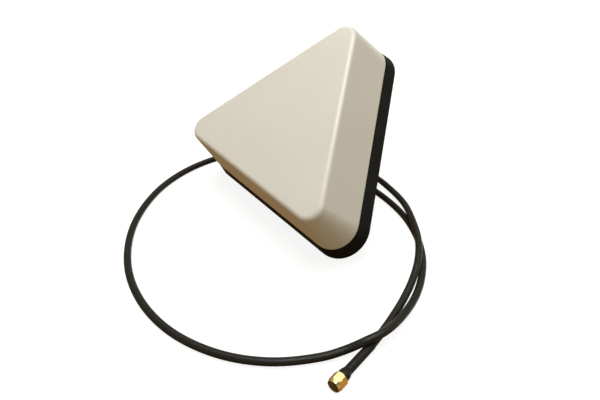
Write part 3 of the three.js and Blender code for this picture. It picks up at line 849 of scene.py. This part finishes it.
def bored_hexagon(across_corners, low, high, bore):
    """A hexagonal nut with turned chamfers on both ends and a hole through it."""
    chamfer = 0.5
    points = hexagon(across_corners, 0.6, -math.pi / 2)
    corner = max(math.hypot(x, y) for x, y in points)
    flat = corner * math.cos(math.pi / 6)
    turned = [
        (0, low),
        (flat, low),
        (corner + 0.2, low + chamfer),
        (corner + 0.2, high - chamfer),
        (flat, high),
        (0, high),
    ]
    return carved(prism(points, low, high), [
        ("INTERSECT", [lathe(turned, 96)]),
        ("DIFFERENCE", [cylinder(bore, low - 1, high + 1, sides=64)]),
    ])


def gland_stem():
    """The threaded stem through the tray's floor."""
    crest = GLAND_HOLE_RADIUS - GAP
    root = crest - GLAND_THREAD_DEPTH
    bottom = GLAND_FLANGE_TOP - 0.2
    stem = [(GLAND_BORE_RADIUS, bottom), (crest, bottom)]
    z = GLAND_FLANGE_TOP + 0.3
    while z < GLAND_LOCKNUT_TOP:
        stem += [(root, z), (crest, z + 0.5)]
        z += 1
    stem += [(root, GLAND_STEM_TOP), (GLAND_BORE_RADIUS, GLAND_STEM_TOP)]
    return lathe(stem, 56, True)


def add_gland():
    flange = bored_hexagon(GLAND_FLANGE_CORNERS, GLAND_FLANGE_BOTTOM, GLAND_FLANGE_TOP, GLAND_BORE_RADIUS)
    add_piece("gland_flange", flange, HOUSING, "black_plastic", stands_for=["gland_body"])
    add_piece("gland_stem", gland_stem(), HOUSING, "black_plastic", sharp=25)
    nut = bored_hexagon(GLAND_LOCKNUT_CORNERS, TRAY_FLOOR + GAP, GLAND_LOCKNUT_TOP, GLAND_HOLE_RADIUS)
    add_piece("gland_nut", nut, HOUSING, "black_plastic", stands_for=["gland_locknut"])
    seal = rounded([
        (GLAND_HOLE_RADIUS, GLAND_SEAL_BOTTOM, 0.4),
        (GLAND_SEAL_RADIUS, GLAND_SEAL_BOTTOM, 0.5),
        (GLAND_SEAL_RADIUS, -GAP, 0.5),
        (GLAND_HOLE_RADIUS, -GAP, 0.4),
    ], True, 5)
    ring = lathe(seal, 64, True)
    add_piece("gland_seal", ring, HOUSING, "black_rubber", stands_for=["gland_seal_ring"])
    bush = block(GLAND_BORE_RADIUS, GLAND_BUSH_RADIUS, GLAND_BUSH_BOTTOM, GLAND_BUSH_TOP, 0.3)
    grip = lathe(rounded(bush, True), 48, True)
    add_piece("gland_grip", grip, HOUSING, "black_rubber", stands_for=["gland_bush"])
    add_gland_cap()


def add_gland_cap():
    """The cap nut: a ribbed grip, and a round nose that closes on the cord."""
    top, mouth = GLAND_CAP_TOP, -GLAND_LENGTH
    nose = rounded([
        (GLAND_BORE_RADIUS, mouth + 2.2, 0),
        (GLAND_BORE_RADIUS, mouth, 0.7),
        (4.6, mouth, 0.8),
        (7.3, mouth + 3.2, 1.6),
        (7.4, top, 0.3),
        (GLAND_CAP_BORE, top, 0.3),
        (GLAND_CAP_BORE, GLAND_CAP_SEAT, 0),
        (GLAND_BORE_RADIUS, GLAND_CAP_SEAT, 0),
    ], steps=6)
    rib_section = [(6.9, -0.5), (7.75, -0.3), (7.75, 0.3), (6.9, 0.5)]
    ribs = []
    for i in range(GLAND_CAP_RIBS):
        rib = prism(rib_section, mouth + 4.4, top - 0.5)
        turned = Matrix.Rotation(2 * math.pi * i / GLAND_CAP_RIBS, 3, "Z")
        bmesh.ops.rotate(rib, cent=(0, 0, 0), matrix=turned, verts=rib.verts)
        ribs.append(rib)
    mesh = carved(lathe(nose, 72, True), [("UNION", ribs)])
    add_piece("gland_cap", mesh, HOUSING, "black_plastic", stands_for=["gland_cap_nut"])


# ---- Cord ----

def on_axis(place, z):
    """A point on the frame's Z axis, that many millimetres along."""
    return place @ Vector((0, 0, z * MM))


def cord_path():
    """Points close together along the cord's centre, from just inside the gland to inside the sleeve."""
    mouth = on_axis(HOUSING, -GLAND_LENGTH - GAP)
    end = on_axis(PLUG, -GAP)
    route = [mouth, *(Vector(p) for p in CORD_ROUTE), end]
    line = [2 * route[0] - route[1], *route, 2 * route[-1] - route[-2]]
    path = [on_axis(HOUSING, 2.5 - GLAND_LENGTH), on_axis(HOUSING, 1 - GLAND_LENGTH)]
    for before, start, stop, after in zip(line, line[1:], line[2:], line[3:]):
        pairs = ((before, start), (start, stop), (stop, after))
        spans = [math.sqrt((b - a).length) for a, b in pairs]
        leave = tangent(before, start, stop, spans[0], spans[1]) * spans[1]
        arrive = tangent(start, stop, after, spans[1], spans[2]) * spans[1]
        for step in range(CORD_STEPS):
            t = step / CORD_STEPS
            curve = start * (2 * t**3 - 3 * t**2 + 1) + leave * (t**3 - 2 * t**2 + t)
            path.append(curve + stop * (3 * t**2 - 2 * t**3) + arrive * (t**3 - t**2))
    path.append(end)
    path += [on_axis(PLUG, z) for z in (2, 6, 10, 14, 18, 20)]
    return path


def tangent(a, b, c, first, second):
    """Of the centripetal curve at b, where the spans on each side take first and second."""
    return (b - a) / first - (c - a) / (first + second) + (c - b) / second


def add_cord():
    """The round jacket along the path, with its length and its turn kept on the vertices."""
    path = cord_path()
    radius = CORD_DIAMETER / 2 * MM
    bm = bmesh.new()
    along = bm.verts.layers.float.new("along")
    around = bm.verts.layers.float.new("around")
    forward = (path[1] - path[0]).normalized()
    square = forward.orthogonal().normalized()
    travelled = 0.0
    rings = []
    for i, point in enumerate(path):
        ahead = (path[min(i + 1, len(path) - 1)] - path[max(i - 1, 0)]).normalized()
        square = (square - ahead * square.dot(ahead)).normalized()
        other = ahead.cross(square)
        travelled += (point - path[i - 1]).length if i else 0.0
        ring = []
        for side in range(CORD_SIDES):
            angle = 2 * math.pi * side / CORD_SIDES
            outward = square * math.cos(angle) + other * math.sin(angle)
            vertex = bm.verts.new(point + outward * radius)
            vertex[along] = travelled
            vertex[around] = math.sin(angle) + 0.5 * math.cos(2 * angle)
            ring.append(vertex)
        rings.append(ring)
    join_rings(bm, rings)
    bm.faces.new(rings[0][::-1])
    bm.faces.new(rings[-1])
    bmesh.ops.scale(bm, vec=(1 / MM, 1 / MM, 1 / MM), verts=bm.verts)
    cord = add_piece("cord", bm, Matrix.Identity(4), "cord_jacket", stands_for=["coax_cord"])
    return cord, path


# ---- Plug ----

def add_sleeve():
    """Shrunk over the cord and the plug's ferrule: a thin tube with an uneven skin and a flared end."""
    outside = rounded([
        (SLEEVE_BORE, 0, 0.15),
        (SLEEVE_RADIUS - 0.03, 0, 0.2),
        (SLEEVE_RADIUS, 2, 2),
        (SLEEVE_RADIUS - 0.04, 12, 8),
        (SLEEVE_RADIUS, 23.2, 2.5),
        (SLEEVE_FLARE_RADIUS - 0.2, 25.2, 1.4),
        (SLEEVE_FLARE_RADIUS, 26.6, 1.2),
        (SLEEVE_FLARE_RADIUS, SLEEVE_LENGTH, 0.35),
        (SLEEVE_MOUTH_RADIUS, SLEEVE_LENGTH, 0.15),
        (SLEEVE_MOUTH_RADIUS, SLEEVE_FLARE_START + 0.6, 0.3),
        (SLEEVE_BORE, 23.4, 0.3),
    ], True, 5)
    skin = []
    for (radius, z), (next_radius, next_z) in zip(outside, [*outside[1:], outside[0]]):
        count = max(1, int(abs(next_z - z) / 0.7))
        for k in range(count):
            skin.append((radius + (next_radius - radius) * k / count, z + (next_z - z) * k / count))
    bm = lathe(skin, 56, True)
    for vertex in bm.verts:
        distance = math.hypot(vertex.co.x, vertex.co.y)
        if distance < SLEEVE_RADIUS - 0.1 or vertex.co.z > SLEEVE_LENGTH - 0.6:
            continue
        angle = math.atan2(vertex.co.y, vertex.co.x)
        wave = math.sin(2 * angle + vertex.co.z * 0.5) * math.sin(vertex.co.z * 0.9 + 1.1)
        wave += 0.6 * math.sin(3 * angle - vertex.co.z * 1.7)
        swell = 1 - 0.022 * (1 + wave / 1.6) / 2
        vertex.co.x *= swell
        vertex.co.y *= swell
    return add_piece("shrink_sleeve", bm, PLUG, "sleeve", stands_for=["heat_shrink_sleeve"])


def add_nut():
    """The hexagonal coupling nut: turned chamfers, a thin round mouth, and thread grooves inside."""
    start, end = NUT_START, NUT_END
    across = 2 * NUT_ACROSS_FLATS / math.sqrt(3)
    corner = across / 2
    chamfers = rounded([
        (0, start, 0),
        (NUT_ACROSS_FLATS / 2 - 0.05, start, 0.15),
        (corner + 0.1, start + 0.75, 0.2),
        (corner + 0.1, end - NUT_TAPER, 0.8),
        (NUT_MOUTH_RADIUS, end, 0.14),
        (0, end, 0),
    ], steps=4)
    bore = [(0, start - 1), (NUT_BACK_BORE, start - 1)]
    bore += [(NUT_BACK_BORE, NUT_SHOULDER), (NUT_THREAD_BORE, NUT_SHOULDER)]
    root, crest = NUT_THREAD_BORE + 0.09, NUT_THREAD_BORE - 0.13
    z = NUT_SHOULDER + 0.5
    while z < end - 1.2:
        bore += [(root, z), (crest, z + NUT_THREAD_PITCH / 2)]
        z += NUT_THREAD_PITCH
    mouth = NUT_MOUTH_RADIUS - 0.22
    bore += [(NUT_THREAD_BORE + 0.05, end - 0.4), (mouth, end + 0.06), (mouth, end + 1), (0, end + 1)]
    mesh = carved(prism(hexagon(across, 0.28, math.pi / 2), start - 1, end + 1), [
        ("INTERSECT", [lathe(chamfers, 128)]),
        ("DIFFERENCE", [lathe(bore, 96)]),
    ])
    moving = "coupling_nut"
    return add_piece("nut", mesh, PLUG, "gold", body=moving, stands_for=["coupling_nut"], sharp=22)


def plug_piece(name, profile, slot, stands_for, sides=48, ring=True):
    """A turned piece of the plug, which stays with the cord."""
    return add_piece(name, lathe(profile, sides, ring), PLUG, slot, stands_for=[stands_for])


def add_shell():
    """The plug's body: a tube with an outer groove for the nut's retaining ring."""
    profile = rounded([
        (SHELL_BACK_BORE, SHELL_START, 0.1),
        (SHELL_RADIUS, SHELL_START, 0.12),
        (SHELL_RADIUS, RING_GROOVE_START, 0.05),
        (RING_GROOVE_RADIUS, RING_GROOVE_START, 0.05),
        (RING_GROOVE_RADIUS, RING_GROOVE_END, 0.05),
        (SHELL_RADIUS, RING_GROOVE_END, 0.05),
        (SHELL_RADIUS, SHELL_END, 0.1),
        (SHELL_BORE, SHELL_END, 0.08),
        (SHELL_BORE, SHELL_FLOOR, 0.1),
        (SHELL_BACK_BORE, SHELL_FLOOR, 0.1),
    ], True, 3)
    return plug_piece("plug_shell", profile, "gold", "connector_body", 64)


def add_snap_ring():
    low, high = RING_GROOVE_START + 0.1, RING_GROOVE_END - 0.1
    profile = rounded([
        (SHELL_RADIUS - 0.05, low, 0.1),
        (RING_RADIUS, low, 0.2),
        (RING_RADIUS, high, 0.2),
        (SHELL_RADIUS - 0.05, high, 0.1),
    ], True)
    return plug_piece("snap_ring", profile, "brass", "nut_retaining_ring")


def add_insulator():
    low, high = SHELL_FLOOR + GAP, SHELL_END - 0.7
    profile = rounded([
        (SHELL_BACK_BORE, low, 0.05),
        (INSULATOR_RADIUS, low, 0.1),
        (INSULATOR_RADIUS, high, 0.12),
        (SHELL_BACK_BORE, high, 0.08),
    ], True)
    return plug_piece("plug_core", profile, "white_plastic", "connector_insulator")


def add_pin():
    profile = rounded([
        (0, SHELL_START, 0),
        (PIN_RADIUS, SHELL_START, 0.05),
        (PIN_RADIUS, SHELL_END - 0.2, 0.3),
        (0.12, SHELL_END + 0.4, 0.1),
        (0, SHELL_END + 0.4, 0),
    ], steps=5)
    return plug_piece("pin", profile, "gold", "centre_pin", 32, False)


def add_ferrule():
    low, high = SLEEVE_FLARE_START + GAP, SLEEVE_LENGTH + 0.2
    profile = rounded([
        (FERRULE_BORE, low, 0.1),
        (FERRULE_RADIUS, low, 0.15),
        (FERRULE_RADIUS, high, 0.15),
        (FERRULE_BORE, high, 0.1),
    ], True)
    return plug_piece("ferrule", profile, "gold", "crimp_ferrule")


# ---- Stage ----

def add_floor():
    """A pale floor that glows a little, and throws no light back on the part."""
    bm = bmesh.new()
    bmesh.ops.create_circle(bm, cap_ends=True, segments=96, radius=6)
    mesh = bpy.data.meshes.new("floor")
    bm.to_mesh(mesh)
    bm.free()
    material = bpy.data.materials.new("floor")
    material.use_nodes = True
    shader = material.node_tree.nodes["Principled BSDF"]
    shader.inputs["Base Color"].default_value = (0.22, 0.22, 0.22, 1)
    shader.inputs["Roughness"].default_value = 0.9
    shader.inputs["Specular IOR Level"].default_value = 0.0
    shader.inputs["Emission Color"].default_value = (1, 1, 1, 1)
    shader.inputs["Emission Strength"].default_value = 0.88
    mesh.materials.append(material)
    floor = bpy.data.objects.new("floor", mesh)
    floor.location.z = -0.05 * MM
    floor.visible_diffuse = False
    floor.visible_glossy = False
    scene.collection.objects.link(floor)


def add_light(name, place, aim, size, watts, lights_up=True, mirrored=True):
    """A round soft light, which may give only light or only a highlight."""
    data = bpy.data.lights.new(name, "AREA")
    data.shape = "DISK"
    data.size = size
    data.energy = watts
    light = bpy.data.objects.new(name, data)
    light.visible_diffuse = lights_up
    light.visible_glossy = mirrored
    light.location = place
    light.rotation_euler = (Vector(aim) - Vector(place)).to_track_quat("-Z", "Y").to_euler()
    scene.collection.objects.link(light)


def add_world():
    """Soft room light: pale around the horizon, a warm bounce from below, and a low neutral glow
    behind the housing."""
    world = bpy.data.worlds.new("room")
    scene.world = world
    world.use_nodes = True
    nodes, links = world.node_tree.nodes, world.node_tree.links
    background = nodes["Background"]
    direction = nodes.new("ShaderNodeSeparateXYZ")
    links.new(nodes.new("ShaderNodeTexCoord").outputs["Generated"], direction.inputs["Vector"])
    height = map_range(nodes, links, direction.outputs["Z"], -1, 1, 0, 1)
    room = ramp(nodes, links, height, [
        (0.0, (0.1, 0.05, 0.015)),
        (0.42, (0.5, 0.27, 0.08)),
        (0.54, (0.5, 0.52, 0.43)),
        (1.0, (0.1, 0.095, 0.085)),
    ])
    behind = map_range(nodes, links, direction.outputs["Y"], 0.4, 0.6, 0, 1)
    not_right = map_range(nodes, links, direction.outputs["X"], 0.5, 0.3, 0, 1)
    below = map_range(nodes, links, direction.outputs["Z"], 0.05, -0.15, 0, 1)
    glow = math_node(nodes, links, "MULTIPLY", behind, not_right)
    glow = math_node(nodes, links, "MULTIPLY", glow, below)
    room = mix_colour(nodes, links, glow, room, (1.6, 1.57, 1.5))
    seen = nodes.new("ShaderNodeLightPath").outputs["Is Camera Ray"]
    links.new(mix_colour(nodes, links, seen, room, (1, 1, 1)), background.inputs["Color"])


add_camera()
add_tray()
add_cover()
add_seal()
add_screws()
add_inserts()
add_gland()
cord, cord_line = add_cord()
plug_pieces = [
    add_sleeve(),
    add_nut(),
    add_shell(),
    add_snap_ring(),
    add_insulator(),
    add_pin(),
    add_ferrule(),
]

for subpart in frame["record"]["subparts"]:
    node = frame["nodes"][subpart["node"]]
    node.data.materials.clear()
    node.data.materials.append(MATERIALS[subpart["material_slot"]])

add_floor()
add_light("ceiling", (-0.08, -0.05, 1.15), (0, 0, 0.05), 0.9, 10.6, mirrored=False)
add_light("panel", (-0.2, 0.15, 1.0), (0.13, -0.1, 0), 1.0, 2.8)
add_light("edge_highlight", (0.27, 0.1, 1.1), (0.03, -0.02, 0.12), 0.5, 8, lights_up=False)
add_world()
scene.view_settings.view_transform = "Standard"
